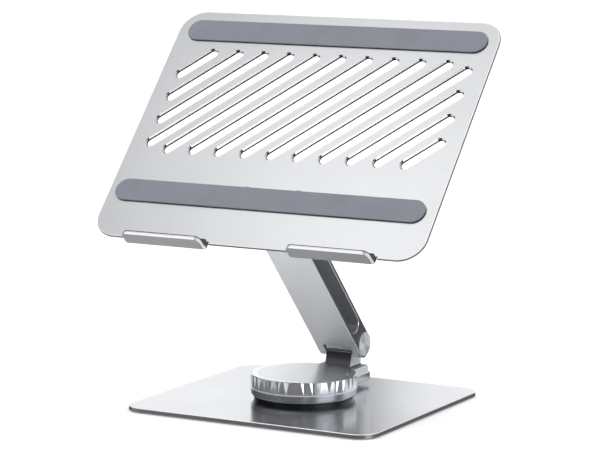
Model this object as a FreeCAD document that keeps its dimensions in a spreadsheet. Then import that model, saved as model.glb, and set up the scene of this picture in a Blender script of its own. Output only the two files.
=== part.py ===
import FreeCAD, Part
import Sketcher
import math
import os

# A turntable laptop stand: a weighted base plate, a swivelling turntable, a friction-hinged arm
# and a perforated aluminium tray with two bent-up hooks along its front edge.
# Units are millimetres. +X is to the user's right, +Y to the rear, +Z up.
# The origin is on the turntable's axis, at the level of the desk.

Vector = FreeCAD.Vector
doc = FreeCAD.newDocument("laptop_stand")

# ---------------------------------------------------------------------------------------------
# Driving dimensions. Each row is an alias, its value and what it measures.
# ---------------------------------------------------------------------------------------------
DIMENSIONS = [
    ("base_width", 212.2, "base plate, left to right"),
    ("base_depth", 194.8, "base plate, front to rear"),
    ("base_shift", 1.25, "base plate centre, behind the turntable's axis"),
    ("base_thick", 3.0, "base plate thickness"),
    ("base_corner", 16.0, "base plate corner radius"),
    ("base_edge", 0.45, "base plate edge chamfer"),
    ("foot_thick", 1.0, "rubber feet thickness"),
    ("foot_radius", 12.0, "corner foot radius"),
    ("foot_inset", 19.0, "corner foot centre to the plate's edges"),
    ("centre_foot_radius", 30.0, "centre foot radius"),
    ("hub_flange_radius", 38.5, "hub flange radius"),
    ("hub_flange_top", 6.3, "height of the hub flange's top"),
    ("hub_radius", 13.0, "hub boss radius"),
    ("hub_top", 15.0, "height of the hub boss's top"),
    ("glide_thick", 0.9, "glide washer thickness"),
    ("glide_bore", 13.3, "glide washer bore radius"),
    ("lower_glide_radius", 32.0, "lower glide washer radius"),
    ("upper_glide_radius", 19.5, "upper glide washer radius"),
    ("retainer_radius", 20.0, "retaining plate radius"),
    ("retainer_thick", 2.0, "retaining plate thickness"),
    ("hub_screw_circle", 8.0, "hub and retainer screws, distance from the axis"),
    ("hub_screw_reach", 7.5, "hub screws' reach into the hub"),
    ("retainer_screw_reach", 6.5, "retainer screws' reach into the hub"),
    ("carrier_bottom", 7.26, "height of the carrier's underside"),
    ("carrier_top", 13.98, "height of the carrier's top"),
    ("carrier_radius", 40.9, "carrier radius at the top"),
    ("carrier_foot_radius", 39.6, "carrier radius at the underside"),
    ("running_gap", 0.06, "radial clearance of the running fits"),
    ("tail_half_width", 19.5, "tail half width"),
    ("tail_end", 76.3, "tail end, behind the axis"),
    ("tail_corner", 3.0, "tail corner radius"),
    ("ring_top", 23.94, "height of the ridged ring's top"),
    ("ring_radius", 40.94, "ridged ring radius"),
    ("ring_bevel", 0.5, "ridged ring top bevel"),
    ("ring_inside", 32.5, "ridged ring bore radius"),
    ("cover_radius", 34.8, "top cover radius"),
    ("cover_thick", 1.7, "top cover thickness"),
    ("flute_count", 38, "flutes round the ridged ring"),
    ("flute_half_width", 2.5, "half width of a flute's V shape, at its depth"),
    ("flute_depth", 0.8, "flute depth under the ring's rim"),
    ("flute_end", 0.6, "height above the carrier at which the flutes run out"),
    ("ring_screw_circle", 35.6, "ring screws, distance from the axis"),
    ("ring_screw_reach", 6.0, "ring screws' reach into the ring"),
    ("hinge_y", 65.7, "lower hinge axis, behind the turntable's axis"),
    ("hinge_z", 37.4, "lower hinge axis height"),
    ("plate_front", 52.0, "hinge post foot plate, front edge"),
    ("plate_rear", 74.3, "hinge post foot plate, rear edge"),
    ("plate_half_width", 18.6, "hinge post foot plate half width"),
    ("plate_top", 19.3, "height of the foot plate's top"),
    ("plate_corner", 2.5, "foot plate corner radius"),
    ("post_screw_across", 14.4, "post screws from the centre line"),
    ("post_screw_front", 57.0, "front post screws, behind the turntable's axis"),
    ("post_screw_rear", 69.0, "rear post screws, behind the turntable's axis"),
    ("post_front", 54.6, "hinge post front face at its foot"),
    ("post_rear", 74.0, "hinge post rear face"),
    ("post_neck", 8.2, "height of the post's front curve below the hinge axis"),
    ("post_neck_inset", 7.5, "front of the post's neck, in front of the hinge axis"),
    ("post_curve", 30.0, "radius of the post's front face"),
    ("post_fillet", 1.4, "fillet between the post's sides and the foot plate"),
    ("barrel_radius", 9.0, "hinge barrel radius"),
    ("barrel_half", 11.2, "hinge barrel half length"),
    ("bush_radius", 4.5, "hinge bush outer radius"),
    ("pin_radius", 3.0, "hinge pin radius"),
    ("pin_clearance", 0.05, "pin to bush radial clearance"),
    ("arm_length", 161.0, "arm, hinge axis to hinge axis"),
    ("arm_angle", 46.6, "arm's rise above the horizontal, degrees"),
    ("arm_half_width", 18.75, "arm half width"),
    ("arm_half_depth", 9.75, "arm half depth"),
    ("arm_toe_radius", 6.5, "arm front lower corner radius"),
    ("arm_edge", 0.35, "arm edge chamfer"),
    ("notch_half_width", 12.0, "arm end notch half width"),
    ("notch_radius", 12.3, "arm end notch radius round the hinge axis"),
    ("slot_start", 18.3, "arm side slot end, from the hinge axis"),
    ("slot_half_depth", 7.0, "arm side slot half depth"),
    ("slot_edge", 0.35, "arm side slot chamfer"),
    ("ear_seat", 14.6, "counterbore floor in the arm's ears"),
    ("seat_radius", 6.2, "counterbore radius in the arm's ears"),
    ("washer_radius", 7.5, "hinge washer radius"),
    ("nut_flat_radius", 5.0, "hinge nut, axis to flat"),
    ("nut_start", 15.8, "hinge nut inner face"),
    ("nut_end", 18.2, "hinge nut outer face"),
    ("cap_radius", 9.4, "hinge cap radius"),
    ("cap_proud", 0.6, "hinge cap height above the arm's side"),
    ("cap_edge", 0.3, "hinge cap edge chamfer"),
    ("tray_angle", 48.13, "tray's rise above the horizontal, degrees"),
    ("tray_width", 280.0, "tray width"),
    ("tray_length", 218.3, "tray, front edge to rear edge"),
    ("tray_thick", 2.5, "tray sheet thickness"),
    ("tray_corner", 20.0, "tray corner radius"),
    ("tray_edge", 0.9, "tray edge chamfer"),
    ("pivot_along", 43.5, "upper hinge axis, behind the tray's front edge"),
    ("pivot_below", 16.1, "upper hinge axis below the tray's top face"),
    ("vent_count", 14, "vent slots in the tray"),
    ("vent_pitch", 22.736, "vent slot spacing across the tray"),
    ("vent_angle", 44.43, "vent slot slant, degrees"),
    ("vent_centre", 130.4, "vent row centre, behind the tray's front edge"),
    ("vent_half_rise", 46.4, "vent slot half rise, end centre to end centre"),
    ("vent_limit", 121.6, "furthest vent end centre from the tray's centre line"),
    ("vent_radius", 3.86, "vent slot half width"),
    ("vent_edge", 1.0, "vent slot chamfer"),
    ("pad_height", 1.5, "silicone pad height"),
    ("pad_half_width", 10.0, "silicone pad half width"),
    ("pad_edge", 0.4, "silicone pad edge radius"),
    ("upper_pad_half", 130.4, "rear pad half length"),
    ("upper_pad_centre", 198.7, "rear pad centre, behind the tray's front edge"),
    ("lower_pad_half", 132.2, "front pad half length"),
    ("lower_pad_across", -1.4, "front pad centre from the tray's centre line"),
    ("lower_pad_centre", 42.7, "front pad centre, behind the tray's front edge"),
    ("hook_centre", 70.5, "hook centre from the tray's centre line"),
    ("hook_half", 33.9, "hook half width"),
    ("hook_reach", 5.2, "hook outer face, in front of the tray's front edge"),
    ("hook_height", 13.2, "hook lip height above the tray"),
    ("hook_bend", 4.0, "hook outer bend radius"),
    ("hook_corner", 5.0, "hook lip corner radius"),
    ("hook_edge_across", 1.6, "hook lip outer chamfer, across the sheet"),
    ("hook_edge_down", 0.6, "hook lip outer chamfer, down the outer face"),
    ("relief_width", 1.4, "relief notch beside each hook"),
    ("relief_depth", 2.2, "relief notch depth into the tray"),
    ("liner_thick", 1.1, "hook liner thickness"),
    ("liner_floor", 4.0, "hook liner's reach along the tray"),
    ("liner_top", 12.8, "hook liner's height on the lip"),
    ("bracket_half_width", 30.0, "tray bracket half width"),
    ("bracket_front", 24.0, "tray bracket front edge, behind the tray's front edge"),
    ("bracket_rear", 62.0, "tray bracket rear edge, behind the tray's front edge"),
    ("bracket_thick", 3.0, "tray bracket plate thickness"),
    ("bracket_web", 6.0, "tray bracket web half thickness"),
    ("bracket_screw_across", 22.0, "bracket screws from the centre line"),
    ("bracket_screw_along", 7.0, "bracket screws from the upper hinge axis"),
    ("small_edge", 0.5, "small edge chamfer"),
    ("through", 40.0, "depth of a cut that goes right through a piece"),
    ("screw_radius", 2.0, "M4 screw shank radius"),
    ("screw_head", 3.8, "M4 countersunk head radius"),
    ("screw_head_depth", 2.0, "M4 countersunk head depth"),
]

sheet = doc.addObject("Spreadsheet::Sheet", "dim")
for row, (alias, value, meaning) in enumerate(DIMENSIONS, start=1):
    sheet.set(f"A{row}", meaning)
    sheet.set(f"B{row}", str(value))
    sheet.setAlias(f"B{row}", alias)
doc.recompute()


def size(expression):
    """The number that an expression of the sheet's aliases, or a plain number, comes to."""
    return float(sheet.evalExpression(str(expression)))


def bound(expression):
    """The same expression as another object writes it: each alias with the sheet's name."""
    words = []
    word = ""
    for letter in str(expression) + " ":
        if letter.isalnum() or letter in "_.":
            word += letter
            continue
        words.append("dim." + word if word in ALIASES else word)
        words.append(letter)
        word = ""
    return "".join(words).strip()


ALIASES = {alias for alias, value, meaning in DIMENSIONS}


# ---------------------------------------------------------------------------------------------
# Modelling helpers. Sketch coordinates are expressions of the sheet's aliases.
# ---------------------------------------------------------------------------------------------
def new_body(name):
    body = doc.addObject("PartDesign::Body", name)
    body.Label = name
    return body


def new_sketch(body, plane, offset="0"):
    """A sketch on one of the body's origin planes, moved along that plane's normal."""
    sketch = body.newObject("Sketcher::SketchObject", body.Name + "_sketch")
    origin_plane = next(part for part in body.Origin.OriginFeatures if part.Role == plane)
    sketch.AttachmentSupport = [(origin_plane, "")]
    sketch.MapMode = "FlatFace"
    sketch.setExpression("AttachmentOffset.Base.z", bound(offset))
    return sketch


def pin_point(sketch, geometry, point, across, up):
    """Hold one point of a sketch at a place given by two expressions."""
    for kind, expression in (("DistanceX", across), ("DistanceY", up)):
        constraint = Sketcher.Constraint(kind, -1, 1, geometry, point, size(expression))
        index = sketch.addConstraint(constraint)
        sketch.setExpression(f"Constraints[{index}]", bound(expression))


def add_circle(sketch, radius, across="0", up="0"):
    centre = Vector(size(across), size(up), 0)
    circle = sketch.addGeometry(Part.Circle(centre, Vector(0, 0, 1), size(radius)))
    pin_point(sketch, circle, 3, across, up)
    index = sketch.addConstraint(Sketcher.Constraint("Radius", circle, size(radius)))
    sketch.setExpression(f"Constraints[{index}]", bound(radius))


def arc_between(start, end, radius):
    """The shorter arc from start to end: it turns left for a positive radius, right for a negative."""
    chord = end - start
    side = Vector(-chord.y, chord.x, 0).normalize()
    rise = math.sqrt(max(radius * radius - chord.Length ** 2 / 4, 0))
    centre = (start + end) / 2 + side * math.copysign(rise, radius)
    first = math.atan2(start.y - centre.y, start.x - centre.x)
    last = math.atan2(end.y - centre.y, end.x - centre.x)
    circle = Part.Circle(centre, Vector(0, 0, 1), abs(radius))
    if radius < 0:
        first, last = last, first
    return Part.ArcOfCircle(circle, first, last)


def add_outline(sketch, corners):
    """A closed outline. Each corner is (across, up) or (across, up, radius of the arc that leaves it)."""
    places = [Vector(size(corner[0]), size(corner[1]), 0) for corner in corners]
    ends = []
    for index, corner in enumerate(corners):
        start = places[index]
        end = places[(index + 1) % len(places)]
        if len(corner) == 2:
            line = sketch.addGeometry(Part.LineSegment(start, end))
            ends.append((line, 1, 2))
            continue
        radius = size(corner[2])
        arc = sketch.addGeometry(arc_between(start, end, radius))
        constraint = sketch.addConstraint(Sketcher.Constraint("Radius", arc, abs(radius)))
        sign = "-1 * " if radius < 0 else ""
        sketch.setExpression(f"Constraints[{constraint}]", bound(f"{sign}({corner[2]})"))
        ends.append((arc, 2, 1) if radius < 0 else (arc, 1, 2))
    for index, (geometry, first, last) in enumerate(ends):
        following, following_first, _ = ends[(index + 1) % len(ends)]
        sketch.addConstraint(Sketcher.Constraint("Coincident", geometry, last, following, following_first))
        pin_point(sketch, geometry, first, corners[index][0], corners[index][1])


def add_rectangle(sketch, left, right, low, high):
    add_outline(sketch, [(left, low), (right, low), (right, high), (left, high)])


def rounded_rectangle(half_width, low, high, radius):
    """Corners of a rectangle centred across, with all four corners rounded."""
    right = f"({half_width})"
    left = f"-({half_width})"
    inner_right = f"({half_width}) - ({radius})"
    inner_left = f"-({half_width}) + ({radius})"
    lower = f"({low}) + ({radius})"
    upper = f"({high}) - ({radius})"
    return [
        (inner_left, low), (inner_right, low, radius), (right, lower), (right, upper, radius),
        (inner_right, high), (inner_left, high, radius), (left, upper), (left, lower, radius),
    ]


def finish_feature(body, feature):
    doc.recompute()
    body.Tip = feature
    return feature


def pad(body, sketch, length, midplane=False):
    feature = body.newObject("PartDesign::Pad", body.Name + "_pad")
    feature.Profile = sketch
    feature.setExpression("Length", bound(length))
    feature.SideType = "Symmetric" if midplane else "One side"
    return finish_feature(body, feature)


def pocket(body, sketch, length, reverse=False, midplane=False):
    """Cut a sketch into the body. The volume has to fall, or the cut points away from the solid."""
    before = body.Shape.Volume
    feature = body.newObject("PartDesign::Pocket", body.Name + "_pocket")
    feature.Profile = sketch
    feature.setExpression("Length", bound(length))
    feature.SideType = "Symmetric" if midplane else "One side"
    feature.Reversed = reverse
    finish_feature(body, feature)
    if not body.Shape.Volume < before - 1e-6:
        raise RuntimeError(f"{feature.Name} cuts nothing")
    return feature


def revolve(body, sketch, axis):
    feature = body.newObject("PartDesign::Revolution", body.Name + "_revolution")
    feature.Profile = sketch
    feature.ReferenceAxis = (sketch, [axis])
    feature.Angle = 360
    return finish_feature(body, feature)


def polar_pattern(body, feature, count):
    pattern = body.newObject("PartDesign::PolarPattern", body.Name + "_pattern")
    pattern.Originals = [feature]
    pattern.Axis = (next(part for part in body.Origin.OriginFeatures if part.Role == "Z_Axis"), [""])
    pattern.Angle = 360
    pattern.setExpression("Occurrences", bound(count))
    return finish_feature(body, pattern)


def dress_edges(body, kind, radius, wanted):
    """Chamfer or fillet each edge of the body for which wanted(edge) is true."""
    base = body.Tip
    names = [f"Edge{number}" for number, edge in enumerate(base.Shape.Edges, start=1) if wanted(edge)]
    if not names:
        raise RuntimeError(f"{body.Name}: no edge to {kind}")
    feature = body.newObject(f"PartDesign::{kind}", f"{body.Name}_{kind.lower()}")
    feature.Base = (base, names)
    feature.setExpression("Size" if kind == "Chamfer" else "Radius", bound(radius))
    return finish_feature(body, feature)


def near(first, second):
    return abs(first - second) < 1e-4


def lies_at(direction, place):
    """A test for edges that lie wholly in the plane where one coordinate has the given value."""
    letter = "xyz".index(direction)
    level = size(place)

    def test(edge):
        box = edge.BoundBox
        lowest = (box.XMin, box.YMin, box.ZMin)[letter]
        highest = (box.XMax, box.YMax, box.ZMax)[letter]
        return abs(lowest - level) < 1e-3 and abs(highest - level) < 1e-3

    return test


def runs_along(edge, direction):
    """True for a straight edge parallel to the X, Y or Z direction."""
    if edge.Curve.TypeId != "Part::GeomLine":
        return False
    return near(abs(edge.Curve.Direction["xyz".index(direction)]), 1)


# ---------------------------------------------------------------------------------------------
# Pieces that are used more than once
# ---------------------------------------------------------------------------------------------
def disc(name, radius, low, high, bore=None, edge=None):
    """A flat round piece on the Z axis, with an optional bore and an optional chamfered top rim."""
    body = new_body(name)
    sketch = new_sketch(body, "XY_Plane", low)
    add_circle(sketch, radius)
    if bore:
        add_circle(sketch, bore)
    pad(body, sketch, f"({high}) - ({low})")
    if edge:
        rim = size(radius)
        top = lies_at("z", high)
        dress_edges(body, "Chamfer", edge, lambda e: top(e) and near(e.Curve.Radius, rim))
    return body


def countersunk_screws(name, places, head_level, tip_level, placement=None):
    """A group of identical countersunk screws along Z, as one compound of separate solids.

    The head's flat face is at head_level, and the shank ends at tip_level.
    """
    head = size("screw_head")
    shank = size("screw_radius")
    depth = size("screw_head_depth")
    top = size(head_level)
    tip = size(tip_level)
    upward = 1 if tip > top else -1
    socket_radius = 0.6 * shank
    solids = []
    for across, along in places:
        centre = Vector(across, along, top)
        direction = Vector(0, 0, upward)
        cone = Part.makeCone(head, shank, depth, centre, direction)
        rod = Part.makeCylinder(shank, abs(tip - top), centre, direction)
        hexagon = Part.makePolygon([
            centre + Vector(
                socket_radius * 1.155 * math.cos(math.radians(60 * corner)),
                socket_radius * 1.155 * math.sin(math.radians(60 * corner)), 0)
            for corner in range(7)
        ])
        socket = Part.Face(hexagon).extrude(direction * (0.75 * depth))
        solids.append(cone.fuse(rod).removeSplitter().cut(socket))
    screws = doc.addObject("Part::Feature", name)
    screws.Label = name
    screws.Shape = Part.makeCompound(solids)
    if placement:
        screws.Placement = placement
    return screws


def screw_holes(body, places, head_level, reverse):
    """Countersunk through holes that match countersunk_screws, cut from the head's side."""
    before = body.Shape.Volume
    through = new_sketch(body, "XY_Plane", head_level)
    for across, along in places:
        add_circle(through, "screw_radius", str(across), str(along))
    pocket(body, through, "through", reverse=reverse)
    direction = 1 if reverse else -1
    for across, along in places:
        sink = new_sketch(body, "XZ_Plane", str(-along))
        level = f"({head_level})"
        depth = f"{direction} * screw_head_depth"
        add_outline(sink, [
            (f"{across}", level),
            (f"{across} + screw_head", level),
            (f"{across} + screw_radius", f"{level} + {depth}"),
            (f"{across}", f"{level} + {depth}"),
        ])
        feature = body.newObject("PartDesign::Groove", body.Name + "_countersink")
        feature.Profile = sink
        line = sink.addGeometry(Part.LineSegment(
            Vector(across, size(head_level) - 1, 0), Vector(across, size(head_level) + 1, 0)), True)
        pin_point(sink, line, 1, str(across), f"{level} - 1")
        pin_point(sink, line, 2, str(across), f"{level} + 1")
        feature.ReferenceAxis = (sink, ["Axis0"])
        feature.Angle = 360
        finish_feature(body, feature)
    if not body.Shape.Volume < before - 1e-6:
        raise RuntimeError(f"{body.Name}: the screw holes cut nothing")


def ring_of_places(radius, count, first_degrees=0):
    distance = size(radius)
    turns = [math.radians(first_degrees + 360 * step / count) for step in range(count)]
    return [(round(distance * math.cos(turn), 6), round(distance * math.sin(turn), 6)) for turn in turns]


# ---------------------------------------------------------------------------------------------
# Base: weighted plate on rubber feet, with the fixed pivot hub
# ---------------------------------------------------------------------------------------------
HUB_SCREWS = ring_of_places("hub_screw_circle", 3, 90)
RETAINER_SCREWS = ring_of_places("hub_screw_circle", 3, 30)
BASE_TOP = "foot_thick + base_thick"


def base_plate():
    body = new_body("base_plate")
    sketch = new_sketch(body, "XY_Plane", "foot_thick")
    add_outline(sketch, rounded_rectangle(
        "base_width / 2", "base_shift - base_depth / 2", "base_shift + base_depth / 2", "base_corner"))
    pad(body, sketch, "base_thick")
    top = lies_at("z", BASE_TOP)
    dress_edges(body, "Chamfer", "base_edge", top)
    screw_holes(body, HUB_SCREWS, "foot_thick", reverse=True)


def feet():
    reach_x = "base_width / 2 - foot_inset"
    reach_y = "base_depth / 2 - foot_inset"
    for side, across in (("left", -1), ("right", 1)):
        for end, along in (("front", -1), ("rear", 1)):
            body = new_body(f"foot_{end}_{side}")
            sketch = new_sketch(body, "XY_Plane")
            add_circle(sketch, "foot_radius", f"{across} * ({reach_x})",
                       f"base_shift + {along} * ({reach_y})")
            pad(body, sketch, "foot_thick")
            dress_edges(body, "Fillet", "foot_thick / 4", lies_at("z", "0"))
    centre = disc("foot_centre", "centre_foot_radius", "0", "foot_thick")
    dress_edges(centre, "Fillet", "foot_thick / 4", lies_at("z", "0"))


def pivot_hub():
    body = new_body("pivot_hub")
    sketch = new_sketch(body, "XZ_Plane")
    add_outline(sketch, [
        ("0", BASE_TOP), ("hub_flange_radius", BASE_TOP), ("hub_flange_radius", "hub_flange_top"),
        ("hub_radius", "hub_flange_top"), ("hub_radius", "hub_top"), ("0", "hub_top"),
    ])
    revolve(body, sketch, "V_Axis")
    below = new_sketch(body, "XY_Plane", BASE_TOP)
    for across, along in HUB_SCREWS:
        add_circle(below, "screw_radius", str(across), str(along))
    pocket(body, below, "hub_screw_reach + 0.5", reverse=True)
    above = new_sketch(body, "XY_Plane", "hub_top")
    for across, along in RETAINER_SCREWS:
        add_circle(above, "screw_radius", str(across), str(along))
    pocket(body, above, "retainer_screw_reach + 0.5")


def pivot_stack():
    """The washers and the plate that hold the carrier down on the hub."""
    disc("lower_glide_washer", "lower_glide_radius", "hub_flange_top", "hub_flange_top + glide_thick",
         bore="glide_bore")
    disc("upper_glide_washer", "upper_glide_radius", "carrier_top + running_gap",
         "carrier_top + running_gap + glide_thick", bore="glide_bore")
    plate = disc("retaining_plate", "retainer_radius", "hub_top", "hub_top + retainer_thick",
                 edge="retainer_thick / 5")
    screw_holes(plate, RETAINER_SCREWS, "hub_top + retainer_thick", reverse=False)
    countersunk_screws("hub_screws", HUB_SCREWS, "foot_thick", f"{BASE_TOP} + hub_screw_reach")
    countersunk_screws("retainer_screws", RETAINER_SCREWS, "hub_top + retainer_thick", 
                       "hub_top - retainer_screw_reach")


# ---------------------------------------------------------------------------------------------
# Swivel: carrier with its tail, ridged ring, top cover and hinge post
# ---------------------------------------------------------------------------------------------
RING_SCREWS = ring_of_places("ring_screw_circle", 4, 45)
POST_SCREWS = [
    (across, size(along))
    for across in (-size("post_screw_across"), size("post_screw_across"))
    for along in ("post_screw_front", "post_screw_rear")
]
CARRIER_THICK = "carrier_top - carrier_bottom"


def swivel_carrier():
    body = new_body("swivel_carrier")
    round_part = new_sketch(body, "XZ_Plane")
    add_outline(round_part, [
        ("hub_radius + running_gap", "carrier_bottom"), ("carrier_foot_radius", "carrier_bottom"),
        ("carrier_radius", "carrier_bottom + 1.6"), ("carrier_radius", "carrier_top - 0.8"),
        ("carrier_radius - 0.8", "carrier_top"), ("hub_radius + running_gap", "carrier_top"),
    ])
    revolve(body, round_part, "V_Axis")
    tail = new_sketch(body, "XY_Plane", "carrier_bottom")
    add_rectangle(tail, "-tail_half_width", "tail_half_width", "hub_radius + 5", "tail_end")
    pad(body, tail, CARRIER_THICK)
    end = size("tail_end")
    dress_edges(body, "Fillet", "tail_corner", lambda e: runs_along(e, "z") and near(e.BoundBox.YMin, end))
    top = lies_at("z", "carrier_top")
    bottom = lies_at("z", "carrier_bottom")
    outside = size("carrier_radius") - 2.0
    dress_edges(body, "Chamfer", "small_edge",
                lambda e: (top(e) or bottom(e)) and e.CenterOfMass.y > outside)
    screw_holes(body, RING_SCREWS + POST_SCREWS, "carrier_bottom", reverse=True)


def ridged_ring():
    """The turntable's grip: tapered flutes, deepest under the rim, run out just above the carrier."""
    body = new_body("ridged_ring")
    section = new_sketch(body, "XZ_Plane")
    low = "carrier_top + 0.02"
    add_outline(section, [
        ("ring_inside", low), ("ring_radius - 0.4", low), ("ring_radius", "carrier_top + 0.4"),
        ("ring_radius", "ring_top - ring_bevel"), ("ring_radius - ring_bevel", "ring_top"),
        ("cover_radius + 0.05", "ring_top"), ("cover_radius + 0.05", "ring_top - cover_thick"),
        ("ring_inside", "ring_top - cover_thick"),
    ])
    revolve(body, section, "V_Axis")
    holes = new_sketch(body, "XY_Plane", low)
    for across, along in RING_SCREWS:
        add_circle(holes, "screw_radius", str(across), str(along))
    pocket(body, holes, "ring_screw_reach + 0.2", reverse=True)
    flute = new_sketch(body, "XY_Plane", "ring_top - ring_bevel")
    add_outline(flute, [
        ("0", "0"), ("-3 * flute_half_width", "-3 * flute_depth"),
        ("3 * flute_half_width", "-3 * flute_depth"),
    ])
    # The V shape follows a root line that leans outward going down, and leaves the ring above
    # the carrier.
    height = "(ring_top - ring_bevel - carrier_top - flute_end)"
    lean = math.degrees(math.atan(size(f"flute_depth / {height}")))
    flute.AttachmentOffset = FreeCAD.Placement(Vector(), FreeCAD.Rotation(Vector(1, 0, 0), -lean))
    flute.setExpression("AttachmentOffset.Base.y", bound("-ring_radius + flute_depth"))
    cut = pocket(body, flute, f"{height} + ring_bevel")
    polar_pattern(body, cut, "flute_count")


def turntable_top():
    disc("top_cover", "cover_radius", "ring_top - cover_thick", "ring_top", edge="0.25")
    countersunk_screws("ring_screws", RING_SCREWS, "carrier_bottom", "carrier_top + ring_screw_reach")
    countersunk_screws("post_screws", POST_SCREWS, "carrier_bottom", "plate_top - 0.8")


def hinge_post():
    """The cast post: foot plate on the tail, flared post and hinge barrel in one piece."""
    body = new_body("hinge_post")
    foot = new_sketch(body, "XY_Plane", "carrier_top")
    add_rectangle(foot, "-plate_half_width", "plate_half_width", "plate_front", "plate_rear")
    pad(body, foot, "plate_top - carrier_top")
    half = size("plate_half_width")
    dress_edges(body, "Fillet", "plate_corner",
                lambda e: runs_along(e, "z") and near(abs(e.CenterOfMass.x), half))
    top = lies_at("z", "plate_top")
    dress_edges(body, "Chamfer", "small_edge", top)
    post = new_sketch(body, "YZ_Plane")
    add_outline(post, [
        ("post_front", "plate_top - small_edge"), ("post_rear", "plate_top - small_edge"),
        ("post_rear", "hinge_z"), ("hinge_y", "hinge_z"),
        ("hinge_y - post_neck_inset", "hinge_z - post_neck", "-post_curve"),
    ])
    pad(body, post, "2 * barrel_half", midplane=True)
    barrel = new_sketch(body, "YZ_Plane")
    add_circle(barrel, "barrel_radius", "hinge_y", "hinge_z")
    pad(body, barrel, "2 * barrel_half", midplane=True)
    bore = new_sketch(body, "YZ_Plane")
    add_circle(bore, "bush_radius", "hinge_y", "hinge_z")
    pocket(body, bore, "3 * barrel_half", midplane=True)
    low = size("plate_top")
    side = size("barrel_half")
    dress_edges(body, "Fillet", "post_fillet", lambda e: (
        runs_along(e, "y") and near(e.BoundBox.ZMin, low) and near(abs(e.CenterOfMass.x), side)))
    holes = new_sketch(body, "XY_Plane", "carrier_top")
    for across, along in POST_SCREWS:
        add_circle(holes, "screw_radius", str(across), str(along))
    pocket(body, holes, "plate_top - carrier_top - 0.6", reverse=True)


# ---------------------------------------------------------------------------------------------
# Arm and hinge hardware. The local frame has its origin on a hinge axis, X along that axis,
# Z along the arm towards the tray and Y towards the arm's rear face.
# ---------------------------------------------------------------------------------------------
ARM_TURN = FreeCAD.Rotation(Vector(1, 0, 0), 90 - size("arm_angle"))
LOWER_AXIS = Vector(0, size("hinge_y"), size("hinge_z"))
UPPER_AXIS = LOWER_AXIS + ARM_TURN.multVec(Vector(0, 0, size("arm_length")))
LOWER_FRAME = FreeCAD.Placement(LOWER_AXIS, ARM_TURN)
UPPER_FRAME = FreeCAD.Placement(UPPER_AXIS, ARM_TURN)


def arm():
    """A milled bar with a notch at each end for a hinge barrel and a long slot through its sides."""
    body = new_body("arm")
    body.Placement = LOWER_FRAME
    profile = new_sketch(body, "YZ_Plane")
    add_outline(profile, [
        ("-arm_half_depth", "-arm_half_depth + arm_toe_radius", "arm_toe_radius"),
        ("-arm_half_depth + arm_toe_radius", "-arm_half_depth"),
        ("0", "-arm_half_depth", "arm_half_depth"),
        ("arm_half_depth", "0"),
        ("arm_half_depth", "arm_length", "arm_half_depth"),
        ("0", "arm_length + arm_half_depth", "arm_half_depth"),
        ("-arm_half_depth", "arm_length"),
    ])
    pad(body, profile, "2 * arm_half_width", midplane=True)
    left = lies_at("x", "-arm_half_width")
    right = lies_at("x", "arm_half_width")
    dress_edges(body, "Chamfer", "arm_edge", lambda e: left(e) or right(e))
    slot = new_sketch(body, "YZ_Plane")
    low = "slot_start + slot_half_depth"
    high = "arm_length - slot_start - slot_half_depth"
    add_outline(slot, [
        ("-slot_half_depth", low, "slot_half_depth"), ("0", "slot_start", "slot_half_depth"),
        ("slot_half_depth", low), ("slot_half_depth", high, "slot_half_depth"),
        ("0", "arm_length - slot_start", "slot_half_depth"), ("-slot_half_depth", high),
    ])
    pocket(body, slot, "3 * arm_half_width", midplane=True)
    inside = size("slot_half_depth") + 0.01
    dress_edges(body, "Chamfer", "slot_edge", lambda e: (
        (left(e) or right(e)) and e.BoundBox.YMax < inside and e.BoundBox.YMin > -inside
        and e.BoundBox.ZMin > size("slot_start") - 0.01
        and e.BoundBox.ZMax < size("arm_length - slot_start") + 0.01))
    for level in ("0", "arm_length"):
        notch = new_sketch(body, "YZ_Plane")
        add_circle(notch, "notch_radius", "0", level)
        pocket(body, notch, "2 * notch_half_width", midplane=True)
        bore = new_sketch(body, "YZ_Plane")
        add_circle(bore, "pin_radius", "0", level)
        pocket(body, bore, "3 * arm_half_width", midplane=True)
        for reverse, side in ((False, "arm_half_width"), (True, "-arm_half_width")):
            seat = new_sketch(body, "YZ_Plane", side)
            add_circle(seat, "seat_radius", "0", level)
            pocket(body, seat, "arm_half_width - ear_seat", reverse=reverse)


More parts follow.
